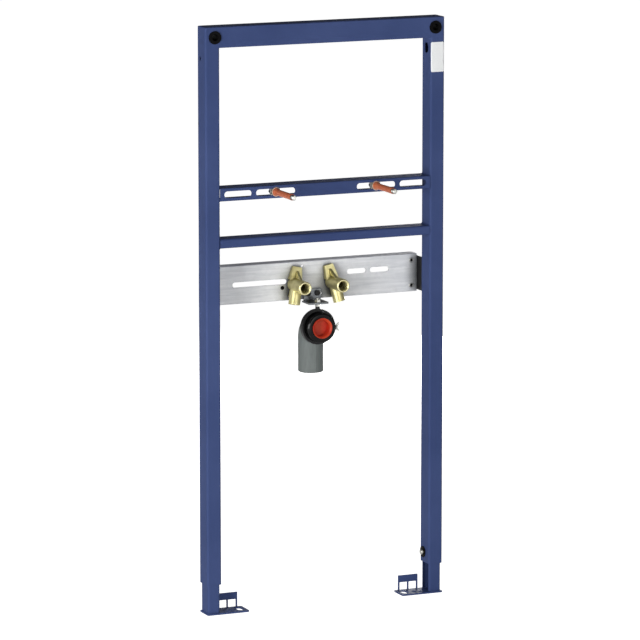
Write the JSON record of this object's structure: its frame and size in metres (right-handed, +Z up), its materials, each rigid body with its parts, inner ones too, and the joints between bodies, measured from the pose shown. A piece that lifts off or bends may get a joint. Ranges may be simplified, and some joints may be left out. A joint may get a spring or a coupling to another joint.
{
  "type": "basin installation frame",
  "caption": "Coated steel pre-wall frame on telescopic feet that carries a basin's studs, brass supply elbows and waste elbow with its clamp.",
  "frame": {"origin": "middle of the top rail's back face, where the wall bracket bears", "axes": "+X to the right seen from the front, +Y towards the wall, +Z up"},
  "size_m": [0.5, 0.1903, 1.14],
  "materials": {
    "blue_coat": "satin powder coat",
    "galvanised": "galvanised sheet",
    "zinc_steel": "zinc plated",
    "raw_steel": "pickled sheet",
    "brass": "raw cast brass",
    "black_plastic": "matt",
    "black_steel": "black coat",
    "rubber": "matt",
    "grey_plastic": "satin",
    "red_plastic": "satin",
    "orange_plastic": "satin",
    "beige_plastic": "satin"
  },
  "bodies": {
    "frame": {"bracket_bolt": "black_steel", "bracket_nut": "zinc_steel", "clamp_lining": "rubber", "clamp_rod": "zinc_steel", "inlet_plug": "red_plastic", "left_clamp_nut": "black_plastic", "left_clamp_screw": "zinc_steel", "left_corner_bush": "black_plastic", "left_elbow_pad": "rubber", "left_plate_bracket": "black_steel", "left_post": "blue_coat", "left_wall_elbow": "brass", "lower_rail": "blue_coat", "lower_rod_nut": "zinc_steel", "mounting_plate": "galvanised", "pipe_bracket": "raw_steel", "pipe_clamp": "black_steel", "right_clamp_nut": "black_plastic", "right_clamp_screw": "zinc_steel", "right_corner_bush": "black_plastic", "right_elbow_pad": "rubber", "right_plate_bracket": "black_steel", "right_post": "blue_coat", "right_wall_elbow": "brass", "seal_sleeve": "rubber", "slotted_rail": "blue_coat", "top_rail": "blue_coat", "upper_rod_nut": "zinc_steel", "waste_elbow": "grey_plastic", "wing_screw": "zinc_steel"},
    "left_foot": {"left_leg": "blue_coat", "left_foot_plate": "blue_coat"},
    "left_basin_stud": {"left_stud": "zinc_steel", "left_stud_collar": "beige_plastic", "left_stud_sleeve": "orange_plastic", "left_stud_backing": "zinc_steel", "left_stud_nut": "zinc_steel"},
    "right_foot": {"right_leg": "blue_coat", "right_foot_plate": "blue_coat"},
    "right_basin_stud": {"right_stud": "zinc_steel", "right_stud_collar": "beige_plastic", "right_stud_sleeve": "orange_plastic", "right_stud_backing": "zinc_steel", "right_stud_nut": "zinc_steel"}
  },
  "joints": [
    {"name": "left_foot_slide", "type": "slide", "parent": "frame", "child": "left_foot", "axis": [0, 0, -1], "range_m": [-0.05, 0.14]},
    {"name": "left_stud_slide", "type": "slide", "parent": "frame", "child": "left_basin_stud", "axis": [1, 0, 0], "range_m": [-0.034, 0.034]},
    {"name": "right_foot_slide", "type": "slide", "parent": "frame", "child": "right_foot", "axis": [0, 0, -1], "range_m": [-0.05, 0.14]},
    {"name": "right_stud_slide", "type": "slide", "parent": "frame", "child": "right_basin_stud", "axis": [1, 0, 0], "range_m": [-0.034, 0.034]}
  ]
}
